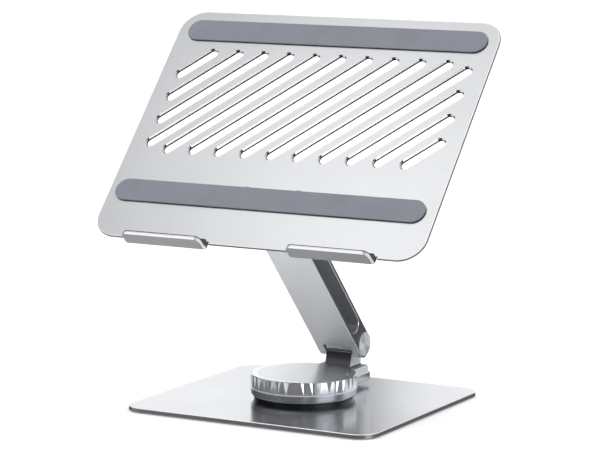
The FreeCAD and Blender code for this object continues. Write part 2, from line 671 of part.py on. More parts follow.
def hinge_hardware(end, frame):
    """Pin, washers, springs, nut and caps of one hinge. They all turn with the arm."""
    pin = new_body(f"{end}_hinge_pin")
    pin.Placement = frame
    section = new_sketch(pin, "XZ_Plane")
    add_outline(section, [
        ("-nut_end + 0.2", "0"), ("-nut_end + 0.2", "nut_flat_radius - 0.4"),
        ("-nut_end + 0.6", "nut_flat_radius"), ("-ear_seat", "nut_flat_radius"),
        ("-ear_seat", "pin_radius"), ("nut_end - 0.4", "pin_radius"),
        ("nut_end", "pin_radius - 0.4"), ("nut_end", "0"),
    ])
    revolve(pin, section, "H_Axis")

    washer_width = "notch_half_width - barrel_half - pin_clearance"
    for side, start in (("left", "-notch_half_width"), ("right", "barrel_half + pin_clearance")):
        washer = new_body(f"{end}_hinge_washer_{side}")
        washer.Placement = frame
        sketch = new_sketch(washer, "YZ_Plane", start)
        add_circle(sketch, "washer_radius")
        add_circle(sketch, "pin_radius")
        pad(washer, sketch, washer_width)

    springs = new_body(f"{end}_disc_springs")
    springs.Placement = frame
    sketch = new_sketch(springs, "XZ_Plane")
    add_outline(sketch, [
        ("ear_seat", "seat_radius - 0.2"), ("ear_seat", "seat_radius - 0.9"),
        ("nut_start - 0.6", "pin_radius"), ("nut_start", "pin_radius"),
        ("nut_start", "pin_radius + 0.8"), ("ear_seat + 0.6", "seat_radius - 0.2"),
    ])
    revolve(springs, sketch, "H_Axis")

    nut = new_body(f"{end}_hinge_nut")
    nut.Placement = frame
    sketch = new_sketch(nut, "YZ_Plane", "nut_start")
    corner_distance = 1 / math.cos(math.radians(30))
    add_outline(sketch, [
        (f"nut_flat_radius * {corner_distance * math.cos(math.radians(60 * corner)):.6f}",
         f"nut_flat_radius * {corner_distance * math.sin(math.radians(60 * corner)):.6f}")
        for corner in range(6)
    ])
    add_circle(sketch, "pin_radius")
    pad(nut, sketch, "nut_end - nut_start")

    for side, sign in (("left", "-"), ("right", "")):
        cap = new_body(f"{end}_hinge_cap_{side}")
        cap.Placement = frame
        sketch = new_sketch(cap, "XZ_Plane")
        face = f"{sign}arm_half_width"
        add_outline(sketch, [
            (f"{sign}(nut_end + 0.05)", "0"), (f"{sign}(nut_end + 0.05)", "seat_radius"),
            (face, "seat_radius"), (face, "cap_radius"),
            (f"{sign}(arm_half_width + cap_proud - cap_edge)", "cap_radius"),
            (f"{sign}(arm_half_width + cap_proud)", "cap_radius - cap_edge"),
            (f"{sign}(arm_half_width + cap_proud)", "0"),
        ])
        revolve(cap, sketch, "H_Axis")


def hinge_bush(end, frame):
    bush = new_body(f"{end}_hinge_bush")
    bush.Placement = frame
    sketch = new_sketch(bush, "YZ_Plane")
    add_circle(sketch, "bush_radius")
    add_circle(sketch, "pin_radius + pin_clearance")
    pad(bush, sketch, "2 * barrel_half", midplane=True)


# ---------------------------------------------------------------------------------------------
# Tray. The local frame has X across, Y up the tray from its front edge and Z out of its top face.
# ---------------------------------------------------------------------------------------------
TRAY_TURN = FreeCAD.Rotation(Vector(1, 0, 0), size("tray_angle"))
TRAY_ORIGIN = UPPER_AXIS - TRAY_TURN.multVec(Vector(0, size("pivot_along"), -size("pivot_below")))
TRAY_FRAME = FreeCAD.Placement(TRAY_ORIGIN, TRAY_TURN)
BRACKET_SCREWS = [
    (across, size("pivot_along") + along)
    for across in (-size("bracket_screw_across"), size("bracket_screw_across"))
    for along in (-size("bracket_screw_along"), size("bracket_screw_along"))
]


def vent_outline(middle):
    """Corners of one slanted vent slot whose centre line crosses the row's centre at middle."""
    slant = math.radians(size("vent_angle"))
    limit = size("vent_limit")
    run = size("vent_half_rise") / math.tan(slant)
    top_across = min(middle + run, limit)
    low_across = max(middle - run, -limit)
    radius = size("vent_radius")
    centre = size("vent_centre")
    side = Vector(-math.sin(slant), math.cos(slant), 0) * radius
    ahead = Vector(math.cos(slant), math.sin(slant), 0) * radius
    top = Vector(top_across, centre + (top_across - middle) * math.tan(slant), 0)
    low = Vector(low_across, centre + (low_across - middle) * math.tan(slant), 0)
    points = [low - side, top - side, top + ahead, top + side, low + side, low - ahead]
    rounded = (1, 2, 4, 5)
    return [
        (f"{point.x:.4f}", f"{point.y:.4f}") + (("vent_radius",) if index in rounded else ())
        for index, point in enumerate(points)
    ]


def tray_plate():
    """One aluminium sheet: rounded panel, slanted vents and two hooks bent up along the front."""
    body = new_body("tray_plate")
    body.Placement = TRAY_FRAME
    panel = new_sketch(body, "XY_Plane", "-tray_thick")
    add_outline(panel, rounded_rectangle("tray_width / 2", "0", "tray_length", "tray_corner"))
    pad(body, panel, "tray_thick")
    top = lies_at("z", "0")
    bottom = lies_at("z", "-tray_thick")
    dress_edges(body, "Chamfer", "tray_edge", lambda e: top(e) or bottom(e))

    for number in range(int(size("vent_count"))):
        middle = (number - (size("vent_count") - 1) / 2) * size("vent_pitch")
        vent = new_sketch(body, "XY_Plane")
        add_outline(vent, vent_outline(middle))
        pocket(body, vent, "2 * tray_thick")
    border = size("tray_width / 2 - 5")
    dress_edges(body, "Chamfer", "vent_edge", lambda e: (
        top(e) and abs(e.CenterOfMass.x) < border
        and size("vent_centre") - 60 < e.CenterOfMass.y < size("vent_centre") + 60))

    for centre in ("-hook_centre", "hook_centre"):
        relief = new_sketch(body, "XY_Plane")
        width = "hook_half + relief_width"
        add_rectangle(relief, f"{centre} - {width}", f"{centre} + {width}", "-1", "relief_depth")
        pocket(body, relief, "2 * tray_thick")
        hook = new_sketch(body, "YZ_Plane", centre)
        inner_bend = "hook_bend - tray_thick"
        add_outline(hook, [
            ("relief_depth + 1.5", "0"), ("-hook_reach + hook_bend", "0", f"-({inner_bend})"),
            ("-hook_reach + tray_thick", inner_bend), ("-hook_reach + tray_thick", "hook_height"),
            ("-hook_reach + hook_edge_across", "hook_height"),
            ("-hook_reach", "hook_height - hook_edge_down"),
            ("-hook_reach", "hook_bend - tray_thick", "hook_bend"),
            ("-hook_reach + hook_bend", "-tray_thick"), ("relief_depth + 1.5", "-tray_thick"),
        ])
        pad(body, hook, "2 * hook_half", midplane=True)
    lip_top = size("hook_height") - 2.0
    dress_edges(body, "Fillet", "hook_corner", lambda e: (
        runs_along(e, "y") and e.BoundBox.ZMin > lip_top))


def stadium_pad(name, half_length, centre, middle="0"):
    body = new_body(name)
    body.Placement = TRAY_FRAME
    sketch = new_sketch(body, "XY_Plane")
    reach = f"{half_length} - pad_half_width"
    low = f"{centre} - pad_half_width"
    high = f"{centre} + pad_half_width"
    add_outline(sketch, [
        (f"{middle} - ({reach})", low), (f"{middle} + {reach}", low, "pad_half_width"),
        (f"{middle} + {half_length}", centre, "pad_half_width"), (f"{middle} + {reach}", high),
        (f"{middle} - ({reach})", high, "pad_half_width"),
        (f"{middle} - ({half_length})", centre, "pad_half_width"),
    ])
    pad(body, sketch, "pad_height")
    dress_edges(body, "Fillet", "pad_edge", lies_at("z", "pad_height"))


def hook_liner(name, centre):
    """A folded strip of silicone in the corner of one hook."""
    body = new_body(name)
    body.Placement = TRAY_FRAME
    sketch = new_sketch(body, "YZ_Plane", centre)
    wall = "-hook_reach + tray_thick"
    bend = "hook_bend - tray_thick"
    add_outline(sketch, [
        ("liner_floor", "0"), ("liner_floor", "liner_thick"),
        (f"{wall} + liner_thick + 0.6", "liner_thick"), (f"{wall} + liner_thick", "liner_thick + 0.6"),
        (f"{wall} + liner_thick", "liner_top"), (wall, "liner_top"),
        (wall, bend, bend), ("-hook_reach + hook_bend", "0"),
    ])
    pad(body, sketch, "2 * hook_half - 0.6", midplane=True)
    lip_top = size("liner_top")
    dress_edges(body, "Fillet", "hook_corner - 0.4", lambda e: (
        runs_along(e, "y") and near(e.BoundBox.ZMin, lip_top)))
    front = size("liner_floor")
    dress_edges(body, "Fillet", "3", lambda e: runs_along(e, "z") and near(e.BoundBox.YMin, front))


def tray_bracket():
    """Plate under the tray with the upper hinge's barrel on a short web."""
    body = new_body("tray_bracket")
    body.Placement = TRAY_FRAME
    plate = new_sketch(body, "XY_Plane", "-tray_thick - bracket_thick")
    add_outline(plate, rounded_rectangle("bracket_half_width", "bracket_front", "bracket_rear", "5"))
    pad(body, plate, "bracket_thick")
    dress_edges(body, "Chamfer", "small_edge", lies_at("z", "-tray_thick - bracket_thick"))
    web = new_sketch(body, "YZ_Plane")
    add_rectangle(web, "pivot_along - bracket_web", "pivot_along + bracket_web", "-pivot_below",
                  "-tray_thick - 1")
    pad(body, web, "2 * barrel_half", midplane=True)
    barrel = new_sketch(body, "YZ_Plane")
    add_circle(barrel, "barrel_radius", "pivot_along", "-pivot_below")
    pad(body, barrel, "2 * barrel_half", midplane=True)
    bore = new_sketch(body, "YZ_Plane")
    add_circle(bore, "bush_radius", "pivot_along", "-pivot_below")
    pocket(body, bore, "3 * barrel_half", midplane=True)
    holes = new_sketch(body, "XY_Plane", "-tray_thick")
    for across, along in BRACKET_SCREWS:
        add_circle(holes, "screw_radius", str(across), str(along))
    pocket(body, holes, "bracket_thick + 1")


# ---------------------------------------------------------------------------------------------
# Build every piece
# ---------------------------------------------------------------------------------------------
base_plate()
feet()
pivot_hub()
pivot_stack()

swivel_carrier()
ridged_ring()
turntable_top()
hinge_post()
hinge_bush("lower", LOWER_FRAME)

arm()
hinge_hardware("lower", LOWER_FRAME)
hinge_hardware("upper", UPPER_FRAME)

tray_plate()
screw_holes(doc.getObject("tray_plate"), BRACKET_SCREWS, "0", reverse=False)
stadium_pad("upper_pad", "upper_pad_half", "upper_pad_centre")
stadium_pad("lower_pad", "lower_pad_half", "lower_pad_centre", "lower_pad_across")
hook_liner("hook_liner_left", "-hook_centre")
hook_liner("hook_liner_right", "hook_centre")
tray_bracket()
countersunk_screws("bracket_screws", BRACKET_SCREWS, "0", "-tray_thick - bracket_thick + 0.3",
                   TRAY_FRAME)
hinge_bush("upper", FreeCAD.Placement(UPPER_AXIS, TRAY_TURN))

# ---------------------------------------------------------------------------------------------
# Check every object, then write one file for each piece
# ---------------------------------------------------------------------------------------------
doc.recompute()
for item in doc.Objects:
    if "Invalid" in item.State or "Error" in item.State:
        raise RuntimeError(f"{item.Name} failed: {item.State}")

pieces = [item for item in doc.Objects
          if item.TypeId == "PartDesign::Body" or item.TypeId == "Part::Feature"]
for piece in pieces:
    if piece.Shape.isNull() or not piece.Shape.isValid():
        raise RuntimeError(f"{piece.Label} has no valid shape")

os.makedirs("parts", exist_ok=True)
for piece in pieces:
    piece.Shape.exportStep(f"parts/{piece.Label}.step")
    print(f"{piece.Label:28s} {len(piece.Shape.Solids)} solid(s) {piece.Shape.Volume:12.2f} mm3")
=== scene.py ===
import math

import bmesh
import bpy
from mathutils import Matrix, Vector


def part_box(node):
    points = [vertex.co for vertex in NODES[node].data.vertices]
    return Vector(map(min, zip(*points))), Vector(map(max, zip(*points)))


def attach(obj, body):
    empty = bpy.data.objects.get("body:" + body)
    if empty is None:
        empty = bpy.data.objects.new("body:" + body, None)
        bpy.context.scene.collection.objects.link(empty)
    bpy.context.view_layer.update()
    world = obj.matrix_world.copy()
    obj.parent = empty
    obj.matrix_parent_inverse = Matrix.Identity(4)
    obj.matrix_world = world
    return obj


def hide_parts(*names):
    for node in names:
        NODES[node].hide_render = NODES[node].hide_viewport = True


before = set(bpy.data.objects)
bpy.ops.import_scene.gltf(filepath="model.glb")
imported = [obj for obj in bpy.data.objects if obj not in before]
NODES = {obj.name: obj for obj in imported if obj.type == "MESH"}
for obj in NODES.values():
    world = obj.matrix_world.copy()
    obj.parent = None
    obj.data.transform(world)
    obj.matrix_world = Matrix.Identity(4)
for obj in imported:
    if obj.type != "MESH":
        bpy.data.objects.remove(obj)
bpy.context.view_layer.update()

MM = 0.001

# The tray's own frame: u across, v up the slope from the front edge, w out of the top face.
TRAY_ANGLE = math.radians(48.13)
TRAY_ORIGIN = Vector((0.0, -0.085944, 0.132732))
TRAY_U = Vector((1.0, 0.0, 0.0))
TRAY_V = Vector((0.0, math.cos(TRAY_ANGLE), math.sin(TRAY_ANGLE)))
TRAY_W = TRAY_U.cross(TRAY_V)
# Below this depth the chamfer round the tray gets painted shade; above it, a painted highlight.
RIM_LINE = -0.38 * MM
# The block of vents: half its width, and its ends up the slope.
VENTS_HALF, VENTS_FRONT, VENTS_REAR = 131 * MM, 71 * MM, 190 * MM
# Up to this height a pad's sides get painted shade.
PAD_SHADE_TOP = 0.75 * MM

# The arm runs from the lower hinge, and its rear face looks up and back.
ARM_ANGLE = math.radians(46.6)
ARM_REAR = Vector((0.0, math.sin(ARM_ANGLE), math.cos(ARM_ANGLE)))
LOWER_HINGE = Vector((0.0, 0.0657, 0.0374))
HINGE_BARREL = 9.25 * MM

# The studio's soft light, by direction.
STRIP = (0.978, -0.208, 0.0)
SIDE_STRIP = (-0.87, -0.49, 0.0)
FLAG_ACROSS = (0.878, 0.478, 0.0)
CARD = (0.52, -0.854, 0.0)
SKY_BELOW, SKY_FRONT, SKY_REAR, SKY_MIDDLE, SKY_ABOVE = 0.6, 0.05, 1.9, 0.12, 0.58
SKY_STRIP, SKY_SIDE, SKY_CARD = 3.2, 0.8, 2.0


# The viewpoint: its place, the directions of its right, top and back, and its lens in mm.
VIEW_PLACE = (0.978417, -1.803391, 0.433366)
VIEW_RIGHT = Vector((0.877832, 0.478946, 0.004628))
VIEW_UP = Vector((-0.072024, 0.122444, 0.989859))
VIEW_BACK = Vector((0.473522, -0.869263, 0.141981))
VIEW_LENS = 162.25


# ---------------------------------------------------------------- shader helpers

class Shader:
    """A material whose nodes are added by short calls."""

    def __init__(self, name):
        self.material = bpy.data.materials.new(name)
        self.material.use_nodes = True
        self.tree = self.material.node_tree
        self.surface = self.tree.nodes["Principled BSDF"]
        self.place = self.add("ShaderNodeTexCoord").outputs["Object"]

    def add(self, kind, inputs=None, **settings):
        """A new node. An input's value is a number, a colour, or a socket to link."""
        made = self.tree.nodes.new(kind)
        for name, value in settings.items():
            setattr(made, name, value)
        for name, value in (inputs or {}).items():
            self.feed(made.inputs[name], value)
        return made

    def feed(self, socket, value):
        if isinstance(value, bpy.types.NodeSocket):
            self.tree.links.new(value, socket)
        else:
            socket.default_value = value

    def math(self, operation, first, second=0.0, clamp=False):
        return self.add("ShaderNodeMath", {0: first, 1: second},
                        operation=operation, use_clamp=clamp).outputs[0]

    def vector(self, operation, first, second=(0.0, 0.0, 0.0)):
        made = self.add("ShaderNodeVectorMath", {0: first, 1: second}, operation=operation)
        return made.outputs["Value" if operation in ("DOT_PRODUCT", "LENGTH") else "Vector"]

    def ramp(self, value, low, high, to_low=0.0, to_high=1.0):
        """value, mapped smoothly from low..high to to_low..to_high."""
        return self.add("ShaderNodeMapRange",
                        {"Value": value, "From Min": low, "From Max": high,
                         "To Min": to_low, "To Max": to_high},
                        interpolation_type="SMOOTHSTEP").outputs["Result"]

    def mix(self, share, first, second):
        made = self.add("ShaderNodeMix", data_type="RGBA")
        self.feed(made.inputs[0], share)
        self.feed(made.inputs[6], first)
        self.feed(made.inputs[7], second)
        return made.outputs[2]

    def blend(self, share, first, second):
        made = self.add("ShaderNodeMix", data_type="FLOAT")
        for index, value in enumerate((share, first, second)):
            self.feed(made.inputs[(0, 2, 3)[index]], value)
        return made.outputs[0]

    def noise(self, size, detail=2.0, place=None):
        """Noise whose features are about size metres across."""
        made = self.add("ShaderNodeTexNoise", {"Vector": place or self.place, "Scale": 1.0 / size,
                                               "Detail": detail})
        return made.outputs["Fac"]

    def normal(self):
        """The face's own direction, in the object's frame."""
        true = self.add("ShaderNodeNewGeometry").outputs["True Normal"]
        return self.add("ShaderNodeVectorTransform", {"Vector": true},
                        vector_type="NORMAL", convert_from="WORLD",
                        convert_to="OBJECT").outputs["Vector"]

    def bump(self, height, depth, strength=1.0):
        inputs = {"Height": height, "Distance": depth, "Strength": strength}
        return self.add("ShaderNodeBump", inputs).outputs["Normal"]

    def set(self, **values):
        for name, value in values.items():
            self.feed(self.surface.inputs[name.replace("_", " ")], value)


def grey(value, blue=0.0):
    return (value, value * (1 + blue / 3), value * (1 + blue), 1.0)


def between(shader, value, low, high, soft=0.05):
    """1 where value is between low and high."""
    rise = shader.ramp(value, low - soft, low + soft)
    fall = shader.ramp(value, high - soft, high + soft, 1.0, 0.0)
    return shader.math("MULTIPLY", rise, fall)


def zoned(shader, tone, rough, metallic, zones):
    """The finish, replaced where each zone's mask(shader) is 1."""
    for mask_of, zone_colour, zone_roughness, zone_metallic in zones:
        mask = mask_of(shader)
        tone = shader.mix(mask, tone, zone_colour)
        rough = shader.blend(mask, rough, zone_roughness)
        metallic = shader.blend(mask, metallic, zone_metallic)
    return tone, rough, metallic


def blasted_metal(name, colour, roughness, metallic=1.0, zones=(), grain=0.00012, depth=0.000004,
                  edge_tint=1.0):
    """Bead-blasted, anodised metal: a fine grain and slow clouds in its gloss. Each zone is a
    mask(shader) with the colour, roughness and metallic share of the faces where it is 1."""
    shader = Shader(name)
    fine = shader.noise(grain, 3.0)
    speckle = shader.noise(0.0006, 2.0)
    cloud = shader.noise(0.09, 2.0)
    smear = shader.noise(0.006, 4.0)
    tone = shader.mix(shader.ramp(cloud, 0.3, 0.7), colour,
                      tuple(channel * 0.98 for channel in colour[:3]) + (1.0,))
    rough = shader.math("ADD", shader.ramp(cloud, 0.3, 0.7, roughness - 0.004, roughness + 0.004),
                        shader.ramp(smear, 0.35, 0.75, -0.003, 0.004))
    tone, rough, metallic = zoned(shader, tone, rough, metallic, zones)
    grained = shader.add("ShaderNodeHueSaturation",
                         {"Value": shader.math("MULTIPLY", shader.ramp(fine, 0.3, 0.7, 1.0, 0.96),
                                               shader.ramp(speckle, 0.3, 0.7, 1.02, 0.96)),
                          "Color": tone})
    shader.set(Base_Color=grained.outputs[0], Metallic=metallic, Roughness=rough,
               Normal=shader.bump(fine, depth, 0.6))
    shader.surface.inputs["Specular Tint"].default_value = grey(edge_tint)
    return shader.material


def turned_metal(name, colour, roughness, centre=(0.0, 0.0, 0.0), axis="Z", pitch=0.00025,
                 depth=0.00002, strength=0.5, streak=0.0, edge_tint=1.0, metallic=1.0, zones=()):
    """Lathe-turned metal: fine rings about an axis through centre."""
    shader = Shader(name)
    about = shader.vector("SUBTRACT", shader.place, tuple(centre))
    parts = shader.add("ShaderNodeSeparateXYZ", {0: about}).outputs
    along = parts[axis]
    across = [parts[letter] for letter in "XYZ" if letter != axis]
    radius = shader.math("SQRT", shader.math(
        "ADD", shader.math("MULTIPLY", across[0], across[0]),
        shader.math("MULTIPLY", across[1], across[1])))
    rings = shader.add("ShaderNodeCombineXYZ", {0: radius, 1: along, 2: 0.0}).outputs[0]
    fine = shader.noise(pitch, 2.0, rings)
    coarse = shader.noise(pitch * 5, 1.0, rings)
    cloud = shader.noise(0.02, 2.0)
    lines = shader.math("ADD", shader.math("MULTIPLY", fine, 0.7), shader.math("MULTIPLY", coarse, 0.3))
    tone = shader.mix(shader.ramp(lines, 0.35, 0.65, 0.0, 0.35), colour,
                      tuple(channel * 0.82 for channel in colour[:3]) + (1.0,))
    rough = shader.math("ADD", shader.ramp(cloud, 0.3, 0.7, roughness - 0.02, roughness + 0.02),
                        shader.ramp(lines, 0.35, 0.65, -0.03, 0.03))
    tone, rough, metallic = zoned(shader, tone, rough, metallic, zones)
    shader.set(Base_Color=tone, Metallic=metallic, Roughness=rough,
               Normal=shader.bump(lines, depth, strength))
    shader.surface.inputs["Specular Tint"].default_value = grey(edge_tint)
    if streak:
        shader.set(Tangent=shader.add("ShaderNodeTangent", direction_type="RADIAL", axis=axis).outputs[0])
        shader.surface.inputs["Anisotropic"].default_value = streak
    return shader.material


def moulded_rubber(name, colour, roughness=0.62, grain=0.00035, shade=None):
    """Matt silicone or rubber: a fine moulded texture, slow clouds and a little dust."""
    shader = Shader(name)
    fine = shader.noise(grain, 3.0)
    cloud = shader.noise(0.02, 3.0)
    dust = shader.noise(0.0012, 4.0)
    tone = shader.mix(shader.ramp(cloud, 0.35, 0.7), colour,
                      tuple(channel * 0.93 for channel in colour[:3]) + (1.0,))
    tone = shader.mix(shader.ramp(dust, 0.6, 0.8, 0.0, 0.06), tone, grey(0.6))
    # A shade mask paints shade: near black where it is 1.
    if shade:
        tone = shader.mix(shade(shader), tone, grey(0.012))
    rough = shader.math("ADD", roughness, shader.ramp(fine, 0.3, 0.7, -0.05, 0.05))
    shader.set(Base_Color=tone, Roughness=rough, Normal=shader.bump(fine, 0.00003, 0.5))
    shader.surface.inputs["Specular IOR Level"].default_value = 0.35
    shader.surface.inputs["Sheen Weight"].default_value = 0.08
    return shader.material


def moulded_plastic(name, colour, roughness=0.4):
    """Low-friction plastic, slightly translucent, with a fine satin grain."""
    shader = Shader(name)
    fine = shader.noise(0.0005, 3.0)
    cloud = shader.noise(0.01, 2.0)
    tone = shader.mix(shader.ramp(cloud, 0.3, 0.7), colour,
                      tuple(channel * 0.9 for channel in colour[:3]) + (1.0,))
    rough = shader.math("ADD", roughness, shader.ramp(fine, 0.3, 0.7, -0.05, 0.05))
    shader.set(Base_Color=tone, Roughness=rough, Normal=shader.bump(fine, 0.00002, 0.4))
    shader.surface.inputs["Subsurface Weight"].default_value = 0.1
    shader.surface.inputs["Subsurface Radius"].default_value = (0.001, 0.001, 0.001)
    return shader.material


# ---------------------------------------------------------------- where highlights and shade are painted

def facing(shader, direction):
    """How squarely a face looks along a direction, or straight away from it."""
    return shader.math("ABSOLUTE", shader.vector("DOT_PRODUCT", shader.normal(), tuple(direction)))


def distance_along(shader, origin, direction):
    """A point's distance from origin along a direction, in metres."""
    about = shader.vector("SUBTRACT", shader.place, tuple(origin))
    return shader.vector("DOT_PRODUCT", about, tuple(direction))


def both(shader, *masks):
    result = masks[0]
    for mask in masks[1:]:
        result = shader.math("MULTIPLY", result, mask)
    return result


# Where the base plate's upright sides get painted shade.
def plate_side(shader):
    return shader.ramp(facing(shader, (0, 0, 1)), 0.1, 0.2, 1.0, 0.0)


def plate_edge(shader):
    """The base plate's chamfer, where a painted highlight goes: faces that are neither level nor upright.
    """
    return between(shader, facing(shader, (0, 0, 1)), 0.2, 0.93)


# Where the arm's sides get painted shade.
def arm_side(shader):
    return shader.ramp(facing(shader, (1, 0, 0)), 0.9, 0.97)


def arm_edge(shader):
    """The arm's long chamfers: faces that are turned part of the way to a side."""
    return between(shader, facing(shader, (1, 0, 0)), 0.2, 0.93)


def arm_slot(shader):
    """The walls of the arm's long slot and of its notches, which get painted shade."""
    depth = shader.math("ABSOLUTE", distance_along(shader, LOWER_HINGE, ARM_REAR))
    return both(shader, shader.ramp(depth, 7.4 * MM, 7.8 * MM, 1.0, 0.0),
                shader.ramp(facing(shader, (1, 0, 0)), 0.1, 0.2, 1.0, 0.0))


def vent_area(shader):
    across = shader.math("ABSOLUTE", distance_along(shader, TRAY_ORIGIN, TRAY_U))
    up = distance_along(shader, TRAY_ORIGIN, TRAY_V)
    return both(shader, shader.ramp(across, VENTS_HALF - MM, VENTS_HALF + MM, 1.0, 0.0),
                shader.ramp(up, VENTS_FRONT - MM, VENTS_FRONT + MM),
                shader.ramp(up, VENTS_REAR - MM, VENTS_REAR + MM, 1.0, 0.0))


# Where the vents' chamfers get a painted highlight.
def vent_edge(shader):
    return both(shader, between(shader, facing(shader, TRAY_W), 0.25, 0.95), vent_area(shader))


# Where the vents' walls get painted shade, near black.
def vent_wall(shader):
    return both(shader, shader.ramp(facing(shader, TRAY_W), 0.15, 0.25, 1.0, 0.0), vent_area(shader))


def hook_area(shader):
    """The bent-up lips: everything in front of the tray's own front edge."""
    return shader.ramp(distance_along(shader, TRAY_ORIGIN, TRAY_V), -2.6 * MM, -2.4 * MM, 1.0, 0.0)


def tray_rim(shader):
    """The tray's upright outer sides, away from the vents and the hooks, which get painted shade."""
    side = shader.ramp(facing(shader, TRAY_W), 0.15, 0.25, 1.0, 0.0)
    elsewhere = shader.math("SUBTRACT", 1.0, shader.math("MAXIMUM", vent_area(shader), hook_area(shader)))
    return both(shader, side, elsewhere)


def rim_edge(shader, dark=False):
    """The chamfer round the tray's top face: a painted highlight along its upper part, painted shade
    below that.
    """
    rise = shader.vector("DOT_PRODUCT", shader.normal(), tuple(TRAY_W))
    elsewhere = shader.math("SUBTRACT", 1.0, shader.math("MAXIMUM", vent_area(shader), hook_area(shader)))
    level = distance_along(shader, TRAY_ORIGIN, TRAY_W)
    ends = (1.0, 0.0) if dark else (0.0, 1.0)
    part = shader.ramp(level, RIM_LINE - 0.05 * MM, RIM_LINE + 0.05 * MM, *ends)
    return both(shader, between(shader, rise, 0.5, 0.9), elsewhere, part)


# The painted shade on the lower part of the tray's chamfer.
def rim_shade(shader):
    return rim_edge(shader, dark=True)


# Where the lips' front faces get painted shade.
def hook_face(shader):
    return both(shader, shader.ramp(facing(shader, TRAY_V), 0.9, 0.97), hook_area(shader))


def hook_edge(shader):
    """The chamfer along a lip's top, and the lip's end faces, where a painted highlight goes."""
    chamfer = between(shader, facing(shader, TRAY_V), 0.2, 0.9)
    end = shader.ramp(facing(shader, TRAY_U), 0.5, 0.9)
    top = shader.ramp(distance_along(shader, TRAY_ORIGIN, TRAY_W), 11 * MM, 12 * MM)
    return both(shader, shader.math("ADD", both(shader, chamfer, top), end, clamp=True),
                hook_area(shader))


# Where the post's sides are painted lighter than its front: painted light.
def post_side(shader):
    return shader.ramp(facing(shader, (1, 0, 0)), 0.9, 0.97)


def post_edge(shader):
    """The foot plate's chamfers and corners, where a painted highlight goes."""
    slant = [shader.ramp(facing(shader, axis), 0.85, 0.93, 1.0, 0.0)
             for axis in ((1, 0, 0), (0, 1, 0), (0, 0, 1))]
    low = shader.ramp(distance_along(shader, (0, 0, 0), (0, 0, 1)), 19.3 * MM, 19.5 * MM, 1.0, 0.0)
    return both(shader, low, *slant)


def post_barrel(shader):
    """The skin of the hinge barrel, painted lighter and glossier: a painted highlight."""
    about = shader.vector("SUBTRACT", shader.place, tuple(LOWER_HINGE))
    radial = shader.vector("LENGTH", shader.vector("MULTIPLY", about, (0, 1, 1)))
    return both(shader, shader.ramp(radial, HINGE_BARREL - 0.15 * MM, HINGE_BARREL + 0.15 * MM, 1.0, 0.0),
                shader.ramp(facing(shader, (1, 0, 0)), 0.1, 0.2, 1.0, 0.0))


# Where upward-slanting chamfers get a painted highlight.
def upper_chamfer(shader):
    rise = shader.vector("DOT_PRODUCT", shader.normal(), (0, 0, 1))
    return between(shader, rise, 0.3, 0.93)


def pad_side(shader):
    """A pad's foot and the undercut above it, which get painted shade."""
    level = distance_along(shader, TRAY_ORIGIN, TRAY_W)
    return shader.ramp(level, PAD_SHADE_TOP - 0.05 * MM, PAD_SHADE_TOP + 0.05 * MM, 1.0, 0.0)


# Upward faces; on the ring they get a darker colour: painted shade on its top.
def looks_up(shader):
    return shader.ramp(shader.vector("DOT_PRODUCT", shader.normal(), (0, 0, 1)), 0.3, 0.5)


# ---------------------------------------------------------------- new pieces

def new_piece(name, mesh, material, body, node=None, smooth=35):
    piece = bpy.data.objects.new(name, mesh)
    bpy.context.scene.collection.objects.link(piece)
    mesh.materials.append(material)
    with bpy.context.temp_override(object=piece, active_object=piece, selected_objects=[piece],
                                   selected_editable_objects=[piece]):
        bpy.ops.object.shade_smooth_by_angle(angle=math.radians(smooth))
    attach(piece, body)
    if node:
        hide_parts(node)
    return piece


def mesh_of(name, build, place=None):
    shape = bmesh.new()
    build(shape)
    if place:
        bmesh.ops.transform(shape, matrix=place, verts=shape.verts)
    bmesh.ops.recalc_face_normals(shape, faces=shape.faces)
    mesh = bpy.data.meshes.new(name)
    shape.to_mesh(mesh)
    shape.free()
    return mesh


def skin(shape, loops):
    """Joins loops of points, one after another, with faces, and closes the first and last."""
    rings = [[shape.verts.new(point) for point in loop] for loop in loops]
    for lower, upper in zip(rings, rings[1:]):
        count = len(lower)
        for k in range(count):
            shape.faces.new((lower[k], lower[(k + 1) % count], upper[(k + 1) % count], upper[k]))
    shape.faces.new(list(reversed(rings[0])))
    shape.faces.new(rings[-1])


def stadium(half_length, half_width, height, steps=28):
    """A loop of points round a strip with round ends."""
    loop = []
    straight = half_length - half_width
    for side in (1, -1):
        for k in range(steps + 1):
            turn = math.pi * (k / steps - 0.5)
            loop.append((side * (straight + half_width * math.cos(turn)),
                         side * half_width * math.sin(turn), height))
    return loop


def tray_place(across=0.0, up=0.0):
    axes = Matrix((TRAY_U, TRAY_V, TRAY_W)).transposed().to_4x4()
    return Matrix.Translation(TRAY_ORIGIN + TRAY_U * across + TRAY_V * up) @ axes


def silicone_pad(node, material):
    """A strip that stands on the tray, with a soft shoulder and a slightly crowned top."""
    low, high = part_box(node)
    middle = (low + high) / 2 - TRAY_ORIGIN
    height = 1.5 * MM
    half_length = (high.x - low.x) / 2
    up = (high.y - low.y - height * math.sin(TRAY_ANGLE)) / math.cos(TRAY_ANGLE)
    half_width = up / 2
    rise = ((0.3, 0.0), (0.3, 0.4), (0.1, 0.5), (0.0, 0.58), (0.0, 0.76), (0.1, 0.9), (0.3, 0.97),
            (0.6, 0.985), (1.6, 0.992), (4.0, 0.997), (7.0, 1.0), (9.2, 1.0))

    def build(shape):
        skin(shape, [stadium(half_length - inset * MM, half_width - inset * MM, height * share)
                     for inset, share in rise])

    mesh = mesh_of(node, build, tray_place(middle.x, middle.dot(TRAY_V)))
    pad = new_piece(node + "_silicone", mesh, material, "tray", node)
    return pad


